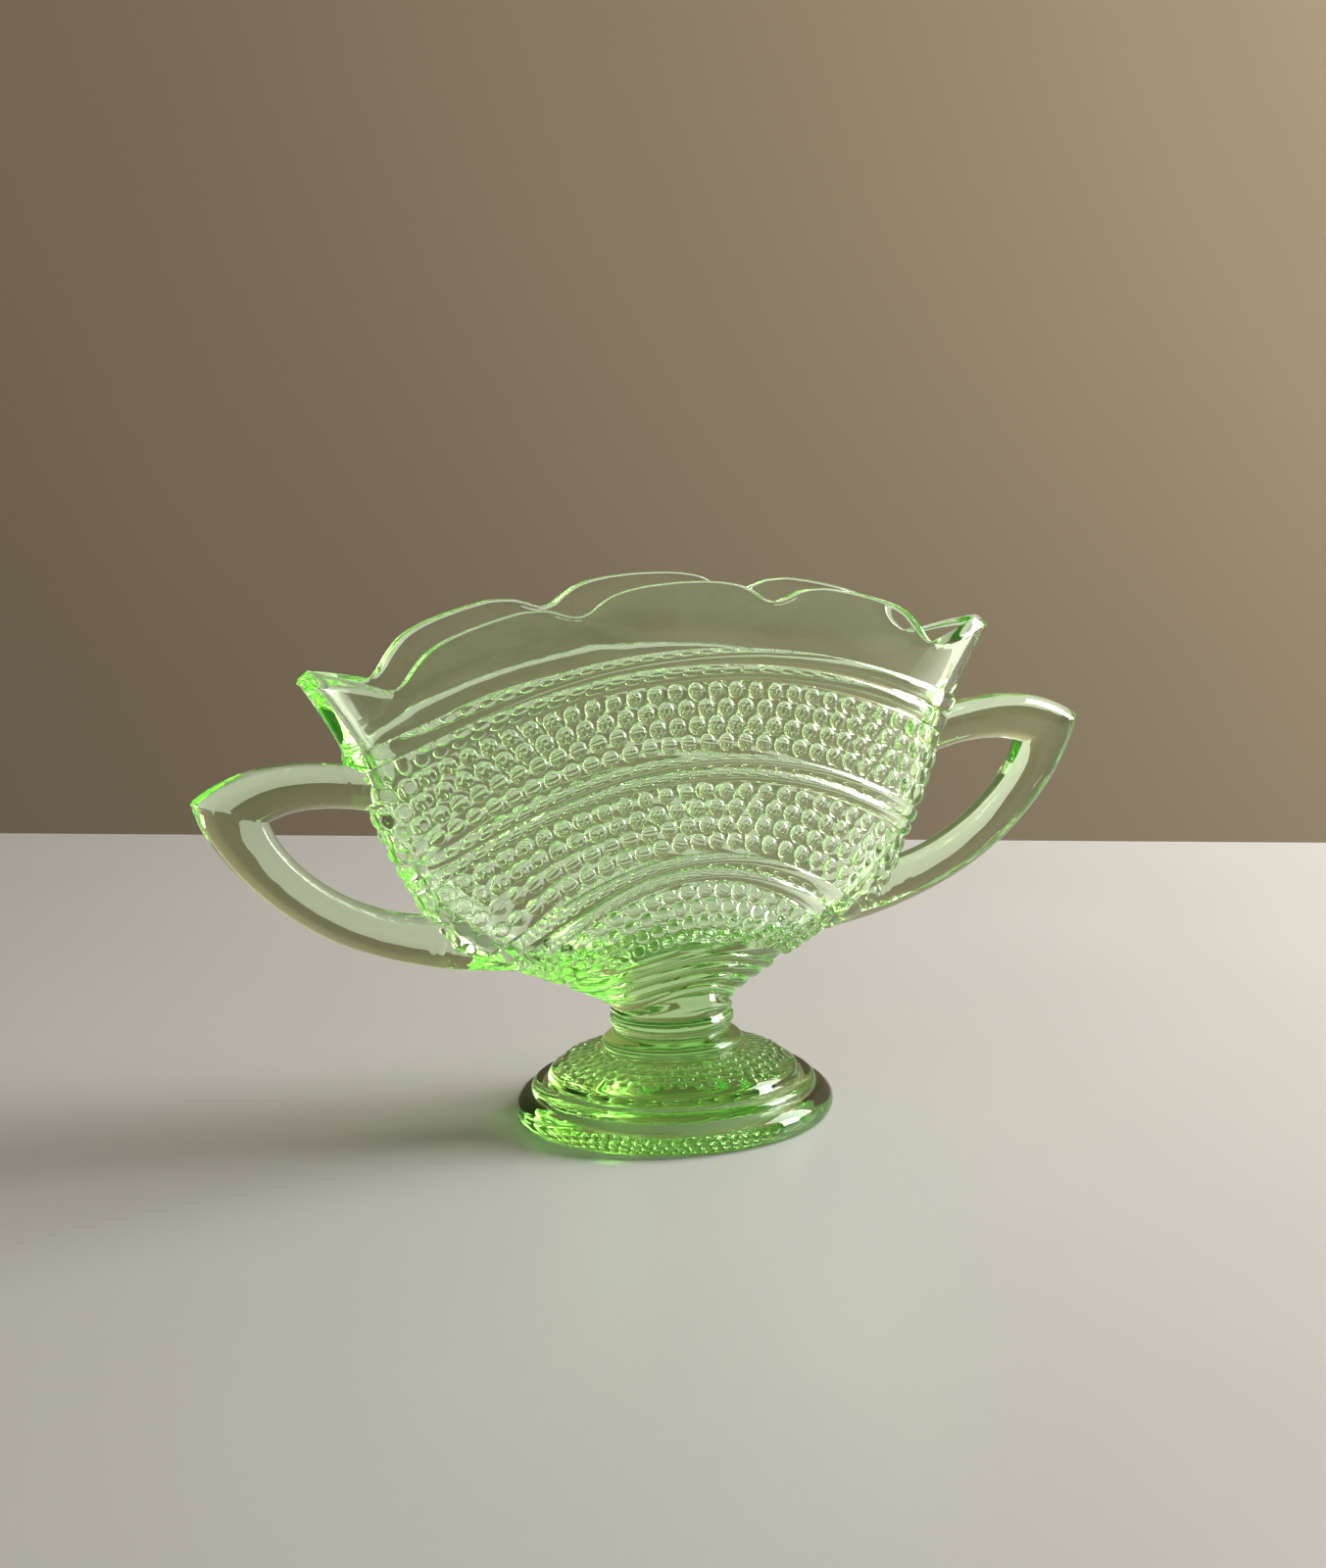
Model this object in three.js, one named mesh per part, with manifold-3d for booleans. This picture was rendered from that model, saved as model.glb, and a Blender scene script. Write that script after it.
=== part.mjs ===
// Footed two-handled posy vase in pressed green glass: a flat boat-shaped bowl with a scalloped rim and a pouring lip
// at each end, a ringed stem, a stepped round foot and two leaf-shaped loop handles.
// Millimetres, +Z up, origin at the middle of the foot's underside, the long side along X.
import * as THREE from "three";
import { mergeVertices } from "three/addons/utils/BufferGeometryUtils.js";
import Module from "manifold-3d";

const wasm = await Module();
wasm.setup();

// ---- driving dimensions ----
const GAP = 0.3; // between neighbouring pieces
const STEM_TOP = 26.2; // joint between stem and bowl
const FOOT_TOP = 17.4; // joint between foot and stem
const LATHE_SEGMENTS = 48;
const BOWL_SEGMENTS = 72; // vertices round the bowl, a multiple of 4
const GLASS_COLOUR = 0x9fe08a;

// Half length and half depth of the bowl against height.
const HALF_LENGTH = [
  [26, 14.4], [28, 15.2], [30, 18.2], [33, 24], [36, 30.4], [39.4, 38.2], [41.2, 43.5], [42.6, 49], [44.2, 53.4],
  [46.6, 56.8], [50, 59.4], [55, 61.9], [60, 64.2], [66, 67.3], [70, 69.3], [75, 71.5], [80, 73.6], [85, 75.5],
  [90, 77.6], [93, 79], [95, 80.1],
];
const HALF_DEPTH = [
  [26, 14.5], [30, 15], [36, 16], [45, 17], [60, 17], [75, 16.8], [85, 16.4], [89, 16.1], [100, 15], [110, 14.2],
  [116, 13.8],
];
const NECK_ROUNDNESS = 2; // exponent of a circle, at the neck
const BOWL_ROUNDNESS = 2.4; // exponent of the plan oval, above FULL_OVAL_HEIGHT
const FULL_OVAL_HEIGHT = 50;

// Arched courses of the outside, bottom to top: height at mid length, height at the two ends, relief of the surface.
const RIB = 0.5;
const GROOVE = -0.8;
const RING_GROOVE = -1;
const COURSES = [
  [26.4, 26.35, 0], [28.4, 26.8, 0.2], [31, 27.4, 0],
  [32.2, 27.8, RING_GROOVE], [33.6, 28.5, RIB], [34.8, 29.2, RING_GROOVE], [36.2, 30.1, RIB],
  [37.4, 31, RING_GROOVE], [38.8, 31.9, RIB], [40, 32.8, RING_GROOVE], [42.2, 34.2, 0],
  [47, 36.2, 0], [53, 38.2, 0], [60, 40.2, 0],
  [61.4, 40.8, GROOVE], [62.6, 41.4, RIB], [63.8, 42, GROOVE], [65.2, 42.7, RIB], [66.6, 43.6, GROOVE],
  [68.2, 45.2, 0], [75, 52.4, 0], [83.4, 61.2, 0],
  [84.2, 62.4, GROOVE], [85.4, 63.6, RIB], [86.6, 64.8, GROOVE], [88, 66.2, RIB], [89.4, 67.4, GROOVE],
  [90.6, 68.8, 0], [98, 76.4, 0], [106.4, 85.4, 0],
  [107.4, 86.8, GROOVE], [109, 88.8, RIB], [110.6, 90.8, GROOVE], [112.6, 93, RIB], [114.6, 95, GROOVE],
];
const TOP_COURSE = COURSES[COURSES.length - 1];

// Rim: height and half depth against distance from mid length; the last row is the pouring lip's point.
const RIM_HEIGHT = [
  [0, 130.4], [3, 130.3], [7, 130], [12, 129.4], [16.5, 128.4], [19, 127.1], [21.5, 125.6], [23.5, 124.5],
  [25.5, 124.1], [28.5, 124.6], [31, 125.3], [34, 126], [38.5, 126.1], [43.5, 125.2], [48.5, 124.1], [53.7, 122.5],
  [58.5, 120.9], [62, 119.2], [64.5, 117.1], [66.5, 114.5], [68, 112.4], [69.5, 111], [71.5, 110.2],
  [75, 110.9], [80, 112.3], [85, 113.6], [89.5, 114.6],
];
const RIM_DEPTH = [
  [0, 13], [26, 11.9], [40, 11.4], [55, 10.5], [65, 9.5], [71.5, 8.7], [76, 8], [80, 6.9], [84, 5.2], [87, 3.4],
  [89.5, 0],
];
const RIM_INNER_DEPTH = [
  [0, 10.9], [26, 9.8], [40, 9.3], [55, 8.4], [65, 7.3], [71.5, 6.2], [76, 5.3], [80, 4.1], [83, 2.8], [86.5, 0],
];
const WALL_STEPS = [0.12, 0.3, 0.5, 0.7, 0.86]; // fractions of the way from the top course to the rim
const FLARE = 1.35; // above 1 the lip leaves the bowl steeply and bends outwards near the rim

// Hollow, bottom to top: height, half length, half depth.
const HOLLOW = [
  [41.4, 24, 5], [42.4, 34, 8.4], [45, 42.5, 11], [50, 50.5, 12.6], [58, 58, 13.2], [68, 64.2, 13.2],
  [80, 69.2, 12.7], [92, 73.2, 11.6],
];
const HOLLOW_TOP_MIDDLE = 106; // height of the last hollow course at mid length

// Stem and foot half sections, radius against height.
const STEM_SECTION = [
  [0, FOOT_TOP + GAP / 2], [15.6, FOOT_TOP + GAP / 2], [16.6, 17.9], [17.1, 18.6], [16.9, 19.4], [15.9, 20.4],
  [14.6, 21.3], [14, 21.9], [14.1, 22.3], [14.8, 23.1], [15.1, 24.2], [14.8, 25.3], [14.3, STEM_TOP - GAP / 2],
  [0, STEM_TOP - GAP / 2],
];
const FOOT_SECTION = [
  [0, 4], [12, 3.6], [24, 2.6], [29, 1.2], [30.5, 0], [36.8, 0], [37.9, 0.7], [38.6, 2.1], [38.7, 3.8], [38.1, 5.7],
  [36.6, 7.2], [34.9, 7.6], [34.5, 8.4], [33.4, 9.3], [31.1, 9.8], [30.3, 10.5], [29.7, 11.7], [27.6, 13], [23, 15.2],
  [18.4, 16.7], [16.8, FOOT_TOP - GAP / 2], [0, FOOT_TOP - GAP / 2],
];

// Handle: outer and inner outlines in the XZ plane, from inside the bowl's shoulder round to inside its lower end.
// Both lists are walked together, so row n of one faces row n of the other across the bar.
const HANDLE_OUTER = [
  [66, 91.4], [74, 92.7], [80, 93.6], [86, 94.4], [92, 94.8], [98, 94.5], [104, 93.3], [109.5, 91.3], [113.2, 89.3],
  [115, 88],
  [113.5, 82.9], [110.2, 77], [105.4, 70.5], [99, 63.8], [91.6, 57.7], [83.4, 52.6], [74.6, 48.6], [66, 45.6],
  [57, 43.2], [48, 41.6], [41, 41],
];
const HANDLE_INNER = [
  [66, 80.8], [74, 82.3], [79, 83.3], [83.6, 83.9], [88, 84.1], [91.6, 83.9], [94.2, 83.4], [96, 82.9],
  [97.2, 82.5], [97.9, 82.2],
  [96.7, 79.3], [94.2, 75.2], [90.4, 70.8], [85.7, 66.7], [80.4, 63.1], [74.8, 60.2], [69.2, 58], [63, 56.6],
  [56, 55.8], [49, 55.4], [42, 55.2],
];
// Bar section: fraction across the bar from outer to inner outline, and half thickness there.
const HANDLE_SECTION = [[0, 2.2], [0.2, 5], [0.82, 5], [1, 2.2]];

// ---- helpers ----
function lookUp(table, at) {
  if (at <= table[0][0]) return table[0][1];
  for (let i = 1; i < table.length; i++) {
    const [x0, y0] = table[i - 1];
    const [x1, y1] = table[i];
    if (at <= x1) return y0 + ((y1 - y0) * (at - x0)) / (x1 - x0);
  }
  return table[table.length - 1][1];
}

function signedPower(value, power) {
  return Math.sign(value) * Math.abs(value) ** power;
}

// Unit plan oval of the given roundness at vertex number i of BOWL_SEGMENTS.
function ovalPoint(i, roundness) {
  const angle = (2 * Math.PI * i) / BOWL_SEGMENTS;
  return [signedPower(Math.cos(angle), 2 / roundness), signedPower(Math.sin(angle), 2 / roundness)];
}

function roundnessAt(height) {
  const t = THREE.MathUtils.clamp((height - STEM_TOP) / (FULL_OVAL_HEIGHT - STEM_TOP), 0, 1);
  return NECK_ROUNDNESS + (BOWL_ROUNDNESS - NECK_ROUNDNESS) * t;
}

// One closed course of the outside, grown outwards by `grow`.
function outerCourse([middle, end, relief], grow) {
  const course = [];
  const length = lookUp(HALF_LENGTH, end) + relief + grow;
  for (let i = 0; i < BOWL_SEGMENTS; i++) {
    const [alongX, alongY] = ovalPoint(i, roundnessAt(middle));
    const height = middle - (middle - end) * alongX * alongX;
    course.push([length * alongX, (lookUp(HALF_DEPTH, height) + relief + grow) * alongY, height]);
  }
  return course;
}

// Rim edge whose half depth follows `depths`, grown outwards by `grow`; its height follows the place along the rim.
function rimCourse(depths, grow) {
  const course = [];
  const length = depths[depths.length - 1][0];
  const rimLength = RIM_HEIGHT[RIM_HEIGHT.length - 1][0];
  for (let i = 0; i < BOWL_SEGMENTS; i++) {
    const [alongX, alongY] = ovalPoint(i, BOWL_ROUNDNESS);
    const depth = lookUp(depths, Math.abs(length * alongX)) + grow * Math.abs(alongY);
    course.push([
      (length + grow) * alongX,
      Math.sign(alongY) * depth,
      lookUp(RIM_HEIGHT, Math.abs(rimLength * alongX)),
    ]);
  }
  return course;
}

function blendCourses(low, high, t) {
  const out = t ** FLARE;
  return low.map((p, i) => {
    const q = high[i];
    return [p[0] + (q[0] - p[0]) * out, p[1] + (q[1] - p[1]) * out, p[2] + (q[2] - p[2]) * t];
  });
}

// One course of the hollow; the topmost is arched by `lift` at mid length.
function hollowCourse([height, halfLength, halfDepth], lift) {
  const course = [];
  for (let i = 0; i < BOWL_SEGMENTS; i++) {
    const [alongX, alongY] = ovalPoint(i, BOWL_ROUNDNESS);
    course.push([halfLength * alongX, halfDepth * alongY, height + lift * (1 - alongX * alongX)]);
  }
  return course;
}

// Closed skin through courses of equal length, with a flat fan over the first and the last.
function skin(courses) {
  const count = courses[0].length;
  const positions = courses.flat(2);
  const index = [];
  const at = (row, i) => row * count + (i % count);
  for (let row = 0; row + 1 < courses.length; row++) {
    for (let i = 0; i < count; i++) {
      index.push(at(row, i), at(row, i + 1), at(row + 1, i + 1));
      index.push(at(row, i), at(row + 1, i + 1), at(row + 1, i));
    }
  }
  for (const [row, turn] of [[0, -1], [courses.length - 1, 1]]) {
    const centre = positions.length / 3;
    const sum = courses[row].reduce((s, p) => [s[0] + p[0], s[1] + p[1], s[2] + p[2]], [0, 0, 0]);
    positions.push(...sum.map((v) => v / count));
    for (let i = 0; i < count; i++) {
      const pair = turn > 0 ? [at(row, i), at(row, i + 1)] : [at(row, i + 1), at(row, i)];
      index.push(...pair, centre);
    }
  }
  const geometry = new THREE.BufferGeometry();
  geometry.setAttribute("position", new THREE.Float32BufferAttribute(positions, 3));
  geometry.setIndex(index);
  return geometry;
}

function toSolid(geometry) {
  const bare = geometry.clone();
  bare.deleteAttribute("normal");
  bare.deleteAttribute("uv");
  const merged = mergeVertices(bare, 1e-4);
  return new wasm.Manifold(
    new wasm.Mesh({
      numProp: 3,
      vertProperties: merged.attributes.position.array,
      triVerts: new Uint32Array(merged.index.array),
    }),
  );
}

function toGeometry(solid) {
  const mesh = solid.getMesh();
  const geometry = new THREE.BufferGeometry();
  geometry.setAttribute("position", new THREE.BufferAttribute(mesh.vertProperties, 3));
  geometry.setIndex(new THREE.BufferAttribute(mesh.triVerts, 1));
  geometry.computeVertexNormals();
  return geometry;
}

// ---- pieces ----
function bowlOutside(grow) {
  const courses = COURSES.map((course) => outerCourse(course, grow));
  const rim = rimCourse(RIM_DEPTH, grow);
  const top = courses[courses.length - 1];
  for (const t of WALL_STEPS) courses.push(blendCourses(top, rim, t));
  courses.push(rim);
  return courses;
}

function bowlGeometry() {
  const outside = bowlOutside(0);
  const innerRim = rimCourse(RIM_INNER_DEPTH, 0);
  const topRow = HOLLOW[HOLLOW.length - 1];
  const hollow = HOLLOW.map((row) => hollowCourse(row, row === topRow ? HOLLOW_TOP_MIDDLE - row[0] : 0));
  const top = hollow[hollow.length - 1];
  const inside = [innerRim];
  for (const t of [...WALL_STEPS].reverse()) inside.push(blendCourses(top, innerRim, t));
  inside.push(...hollow.reverse());
  return skin([...outside, ...inside]);
}

function latheGeometry(section) {
  const points = section.map(([radius, height]) => new THREE.Vector2(radius, height));
  return new THREE.LatheGeometry(points, LATHE_SEGMENTS).rotateX(Math.PI / 2);
}

function handleBar(side) {
  const ring = ([outerX, outerZ], [innerX, innerZ]) => {
    const place = ([across, half], sign) => [
      side * (outerX + (innerX - outerX) * across),
      sign * half,
      outerZ + (innerZ - outerZ) * across,
    ];
    const front = HANDLE_SECTION.map((row) => place(row, -1));
    const back = HANDLE_SECTION.map((row) => place(row, 1)).reverse();
    return side > 0 ? [...front, ...back] : [...front, ...back].reverse();
  };
  return skin(HANDLE_OUTER.map((outer, n) => ring(outer, HANDLE_INNER[n])));
}

function handleGeometry(side) {
  const bowlWithGap = toSolid(skin(bowlOutside(GAP)));
  return toGeometry(toSolid(handleBar(side)).subtract(bowlWithGap));
}

function glassMesh(name, geometry) {
  const material = new THREE.MeshStandardMaterial({ color: GLASS_COLOUR, roughness: 0.08, metalness: 0 });
  material.transparent = true;
  material.opacity = 0.6;
  const mesh = new THREE.Mesh(geometry, material);
  mesh.name = name;
  return mesh;
}

const part = new THREE.Group();
part.name = "posy_vase";
part.add(glassMesh("bowl", bowlGeometry()));
part.add(glassMesh("stem", latheGeometry(STEM_SECTION)));
part.add(glassMesh("foot", latheGeometry(FOOT_SECTION)));
part.add(glassMesh("handle_left", handleGeometry(-1)));
part.add(glassMesh("handle_right", handleGeometry(1)));

export default part;
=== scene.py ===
"""Looks of the footed posy vase in pressed uranium glass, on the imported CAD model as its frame.

Lengths in the tables are millimetres in the model's own axes: +X along the bowl, +Y across it, +Z up. Blender
objects are in metres. The glass is made as one closed skin with every bead, rib and ring in it, joined to the
handle bars, and then cut into the named pieces. The cut faces pass light straight through, so the glass still
reads as one.
"""

import math
from collections import namedtuple

import bmesh
import bpy
import numpy as np
from mathutils import Matrix, Vector


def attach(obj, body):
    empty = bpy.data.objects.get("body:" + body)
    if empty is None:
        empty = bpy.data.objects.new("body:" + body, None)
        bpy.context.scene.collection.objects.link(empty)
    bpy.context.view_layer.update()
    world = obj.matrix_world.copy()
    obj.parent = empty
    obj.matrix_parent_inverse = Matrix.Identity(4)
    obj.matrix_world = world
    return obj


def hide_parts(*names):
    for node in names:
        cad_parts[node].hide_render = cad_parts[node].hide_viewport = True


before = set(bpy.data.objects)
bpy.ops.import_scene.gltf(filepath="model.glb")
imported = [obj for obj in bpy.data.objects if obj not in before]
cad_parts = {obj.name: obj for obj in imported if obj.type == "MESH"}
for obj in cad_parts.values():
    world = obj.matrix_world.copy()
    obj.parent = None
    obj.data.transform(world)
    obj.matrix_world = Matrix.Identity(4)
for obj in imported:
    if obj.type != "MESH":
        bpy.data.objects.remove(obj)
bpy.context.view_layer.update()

MM = 0.001

# ---- levels of the outside: a level is the height of an arched course at mid length ----
NECK_LEVEL = 26.2
BAND_TOP = 114.6
RIM_LEVEL = 130.4
# Height of a course at the two ends, against its level.
END_HEIGHT = [
    (26.2, 26.2), (32.2, 27.2), (34.8, 28.8), (37.4, 30.9), (39.9, 32.8), (42.4, 34.4), (46, 35.9),
    (53, 38.2), (59.7, 40.2), (66.7, 43.6), (75, 52.4), (82.5, 60.4), (89.4, 67.3), (98, 76.2),
    (106.6, 85.6), (110.6, 90.4), (114.6, 95),
]
# Crown of the outside: half length and half depth, against height.
HALF_LENGTH = [
    (26.2, 14.5), (28, 15.2), (30, 18.2), (33, 24), (36, 30.4), (39.4, 38.2), (41.2, 43.5), (42.6, 49),
    (44.2, 53.4), (46.6, 56.8), (50, 59.4), (55, 61.9), (60, 64.2), (70, 69.3), (80, 73.6), (90, 77.6),
    (95, 80.1),
]
HALF_DEPTH = [
    (26.2, 14.5), (31, 15.2), (38, 16.4), (48, 17.1), (62, 17.1), (76, 16.7), (88, 16), (100, 15.1),
    (114.6, 14.1),
]
# Roundness of the courses: 2 is an ellipse, more is squarer. It grows from the neck up to the last level here.
NECK_ROUNDNESS = 2.0
BOWL_ROUNDNESS = 2.4
FULL_OVAL_LEVEL = 50.0

# ---- rim: against distance from mid length; the last row is the pouring lip's point ----
RIM_HEIGHT = [
    (0, 130.4), (7, 130.1), (12, 129.5), (16.5, 128.4), (20, 126.6), (23, 124.6), (25.5, 124.0),
    (28.5, 124.5), (31, 125.4), (34.5, 126.1), (38.5, 126.1), (43.5, 125.3), (48.5, 124.1), (53.7, 122.6),
    (58.5, 120.8), (62, 118.9), (64.5, 116.6), (66.5, 114.2), (68, 112.2), (69.5, 110.9), (71.5, 110.1),
    (75, 110.9), (80, 112.3), (85, 113.6), (89.5, 114.6),
]
RIM_DEPTH = [
    (0, 13), (26, 11.9), (40, 11.4), (55, 10.5), (65, 9.5), (71.5, 8.7), (76, 8), (80, 6.9), (84, 5.2),
    (87, 3.4), (88.8, 1.9), (89.5, 0),
]
RIM_INNER_DEPTH = [
    (0, 10.9), (26, 9.8), (40, 9.3), (55, 8.4), (65, 7.3), (71.5, 6.2), (76, 5.3), (80, 4.1), (83, 2.8),
    (85.6, 1.3), (86.5, 0),
]
# How much higher the back edge is than the front one: the rim is finished by hand and isn't even.
BACK_RISE = [(0, 0.4), (30, 0.8), (50, 1.5), (66, 2.0), (76, 1.6), (85, 0.6), (89.5, 0)]
# How much higher the inner edge is than the outer one: the rim's face leans out where the wall flares.
RIM_TILT = [(0, 0), (60, 0), (70, 0.8), (80, 1.5), (89.5, 2.3)]
# Each edge's half depths, and the share of the tilt that lifts it.
OUTER_RIM, INNER_RIM = (RIM_DEPTH, -0.5), (RIM_INNER_DEPTH, 0.5)
RIM_ROUNDING = 0.8
RIM_STEPS = 10  # rings over the rounded edge
RIM_CORNERS = 0.6  # 1 rounds the edge evenly, less leaves a flat face between two rounded corners
FLARE = 1.3  # above 1, the wall leans out more and more towards the rim
WALL_ROWS = 12  # rings up the plain wall below the rim, outside and inside

# ---- hollow, top to bottom: height, half length, half depth ----
HOLLOW = [
    (92, 72.6, 10.9), (86, 71, 11.6), (80, 69, 12.1), (73, 66, 12.5), (66, 62.6, 12.8), (60, 59.2, 12.9),
    (55, 55.4, 12.8), (50.5, 50.6, 12.4), (47, 45.4, 11.6), (44.6, 39.8, 10.3), (43.1, 34.2, 8.7),
    (42.2, 28, 6.8), (41.7, 20.5, 4.7), (41.5, 11, 2.4),
]
HOLLOW_TOP_MIDDLE = 107.0  # height of the first row at mid length
HOLLOW_ROWS = 20
ARCH_ROWS, ARCH_FADE = 7, 1.5  # rows over which the arch of the first row fades out, and how fast
FLOOR_DIP = 0.05  # of the floor's centre below the last row

# ---- relief, measured down from the crown ----
BEAD_DEPTH = 1.0
RIB_DEPTH = 1.05
RING_DEPTH = 1.0
BEAD_FILL = 0.45  # bead radius as a share of the spacing along its row
CELL_MARGIN = 0.08  # least room between a bead and the edge of its cell
ZIGZAG = 0.3  # how far the edge between two rows swings, so that each row sits in the gaps of the next
CELL_ACROSS, CELL_UP = 6, 4  # segments along the sides of one bead's cell
BEAD_RINGS = (1.0, 0.96, 0.85, 0.62, 0.32)  # rings of one bead, as shares of its radius
# Bead groups, bottom to top: lower edge, the rows' own levels, upper edge, and beads in each row.
BeadGroup = namedtuple("BeadGroup", "low levels high beads")
GROUP_LOW = BeadGroup(45.1, [47.0, 50.3, 54.0, 57.8], 59.95, 44)
GROUP_MIDDLE = BeadGroup(67.2, [69.4, 73.3, 77.3, 81.3], 83.4, 57)
GROUP_HIGH = BeadGroup(90.5, [92.7, 96.8, 100.8, 104.9], 107.0, 64)
# Double ribs: lower edge, valley and upper edge.
RIBS_LOW = [59.95, 63.3, 66.7]
RIBS_MIDDLE = [83.4, 86.6, 90.0]
RIBS_HIGH = [107.0, 110.8, 114.6]
NECK_RINGS = [32.2, 34.8, 37.4, 39.9, 42.4]
RIB_STEPS = 6  # segments over one rib or ring
# Level and height of the plain rows below the neck rings, and between them and the lowest beads.
NECK_ROWS = [(NECK_LEVEL, -0.3), (27.2, 0.05), (28.6, 0.2), (30, 0.05), (31.2, -0.6)]
FAN_ROWS = [(43.2, -0.95), (44.2, -1.25), (GROUP_LOW.low, -BEAD_DEPTH)]

# ---- stem and foot: radius and height along the outside, from the underside's centre up to the bowl ----
UNDERSIDE = [(0.6, 4.1), (8, 4), (16, 3.6), (23, 2.9), (28, 1.6), (29.8, 0.4), (30.6, 0), (36.4, 0)]
FOOT_EDGE = [
    (36.4, 0), (37.5, 0.4), (38.3, 1.5), (38.65, 3), (38.3, 4.7), (37.3, 6), (36, 6.9), (34.9, 7.2),
    (34.5, 7.6), (34.4, 8.3), (33.8, 9.1), (32.8, 9.6), (31.4, 9.8), (30.5, 10.1), (30.25, 10.8),
    (29.9, 11.7), (29, 12.5), (27.6, 13.2),
]
FOOT_DOME = [(27.3, 13.35), (25, 14.3), (22, 15.4), (19.5, 16.25), (18.2, 16.65)]
STEM = [
    (17.7, 16.8), (16.9, 17.1), (16.7, 17.4), (16.95, 17.9), (17.05, 18.6), (16.8, 19.3), (16.1, 20),
    (15.2, 20.7), (14.4, 21.3), (14.0, 21.8), (14.15, 22.3), (14.75, 22.9), (15.05, 23.8), (15.0, 24.8),
    (14.5, 25.6), (14.4, 25.95),
]
UNDERSIDE_ROWS, FOOT_EDGE_ROWS, STEM_ROWS = 22, 40, 34
DOME_BEAD_DEPTH = 0.6
DOME_ROWS, DOME_BEADS = 4, 46
DOME_ZIGZAG = 0.08  # in rows

# ---- tables of the curved surfaces ----
SURFACE_TURNS, DOME_TURNS = 1440, 720  # places round
BAND_LEVEL_STEP, WALL_LEVELS, DOME_LEVELS = 0.4, 40, 60
ANGLES_PER_TURN = 4  # angles tried for each place, when places are spread evenly round
LAST_ROW = 1.000001  # taken off the number of rows, so that the last place read still has a row above it
PROBE_TURN, PROBE_LEVEL = 1e-3, 0.1  # steps for a surface's slopes
WELD_DISTANCE = 2e-6  # metres

# ---- handles: outer and inner outline of the bar in the XZ plane, walked together from the upper root to the
# tip, then from the tip to the lower root ----
UPPER_OUTER = [
    (66, 91.4), (74, 92.7), (80, 93.6), (86, 94.4), (92, 94.8), (98, 94.5), (104, 93.3), (109.5, 91.3),
    (113.2, 89.3), (115, 88.0),
]
UPPER_INNER = [
    (66, 80.8), (74, 82.3), (79, 83.3), (83.6, 83.9), (88, 84.1), (91.6, 83.9), (94.2, 83.4), (96, 82.9),
    (97.2, 82.5), (97.9, 82.2),
]
LOWER_OUTER = [
    (115, 88.0), (113.5, 82.9), (110.2, 77.0), (105.4, 70.5), (99, 63.8), (91.6, 57.7), (83.4, 52.6),
    (74.6, 48.6), (66, 45.6), (57, 43.2), (48, 41.6), (40, 40.8),
]
LOWER_INNER = [
    (97.9, 82.2), (96.7, 79.3), (94.2, 75.2), (90.4, 70.8), (85.7, 66.7), (80.4, 63.1), (74.8, 60.2),
    (69.2, 58), (63, 56.6), (56, 55.8), (49, 55.4), (42, 55.2),
]
# Bar section: share of the way from the outer to the inner outline, and half thickness.
BAR_SECTION = [
    (0, 1.1), (0.015, 2.1), (0.06, 3.2), (0.15, 4.4), (0.19, 4.85), (0.23, 5), (0.5, 5.1), (0.79, 5),
    (0.83, 4.8), (0.88, 4.1), (0.96, 2.5), (1, 1.2),
]
BAR_STATIONS = 34

# ---- the solid inside the bowl's wall that the handles stop at ----
CORE_LOW, CORE_HIGH, CORE_INSET = 40.0, 112.0, 2.7
CORE_SIDES, CORE_ROWS = 96, 25

# ---- cutting into pieces ----
CUT_GAP = 0.02  # between two pieces
STEM_TOP = 26.08
FOOT_TOP = 17.4
ROOT_MARGIN = 1.9  # how far outside the bowl's crown a handle is cut from it
ROOT_LOW, ROOT_POINTS = 32.2, 40  # where the line of that cut starts, and its points
HANDLE_TOP_CUT, HANDLE_BOTTOM_CUT = 95.1, 20.0
HANDLE_HALF_CUT = 30.0  # half depth of that cut
FAR_OUT = 140.0  # past everything
SKIN_MARK = "skin"  # face attribute: 1 on real glass, 0 on a cut
CREASE = 32.0  # degrees between faces from which an edge stays crisp

# ---- glass ----
GLASS_TINT = (0.97, 1.0, 0.95, 1.0)
GLASS_IOR = 1.5
DEPTH_COLOUR = (0.55, 0.97, 0.2, 1.0)
DEPTH_DENSITY = 28.0
# painted glow: an even faint green emission over all the glass, standing in for the green glow that light
# raises in it
GLOW_COLOUR = (0.3, 1.0, 0.12, 1.0)
GLOW_STRENGTH = 0.0065
SMEAR_SCALE, SMEAR_ROUGHNESS = 90.0, 0.02
RIPPLE_SCALE, RIPPLE_DETAIL = 160.0, 1.0
RIPPLE_STRENGTH, RIPPLE_HEIGHT = 0.17, 0.0004
GLASS_BOUNCES = 24

# ---- table, wall and light, in metres ----
ROOM_TURN = -35.9  # degrees from the model's X axis to the table's back edge
TABLE_BACK, WALL_BACK = 0.345, 0.8
TABLE_HALF_WIDTH, TABLE_FRONT = 2.2, -2.2
WALL_HALF_WIDTH, WALL_LOW, WALL_HIGH = 3.0, -0.8, 2.4
TABLE_COLOURS = ((0.60, 0.60, 0.575, 1), (0.64, 0.64, 0.615, 1))
TABLE_ROUGHNESS, TABLE_GRAIN = 0.35, 6.0
WALL_COLOURS = ((0.41, 0.32, 0.21, 1), (0.44, 0.35, 0.23, 1))
WALL_ROUGHNESS, WALL_GRAIN = 0.9, 3.0
NOISE_DETAIL = 3.0
ROUGHNESS_DRIFT = 0.05
# Name, place, the point it faces, width and height, watts and colour.
LAMPS = [
    ("window", (1.1, -0.12, 0.66), (0, 0, 0.06), (0.75, 0.85), 20.5, (1.0, 0.99, 0.97)),
    ("window_on_wall", (1.46, -0.55, 0.5), (1.0, 0.3, 0.2), (0.6, 0.8), 27.0, (1.0, 0.98, 0.96)),
]
ROOM_COLOUR = (1.0, 0.95, 0.88, 1.0)
ROOM_STRENGTH = 0.15

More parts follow.
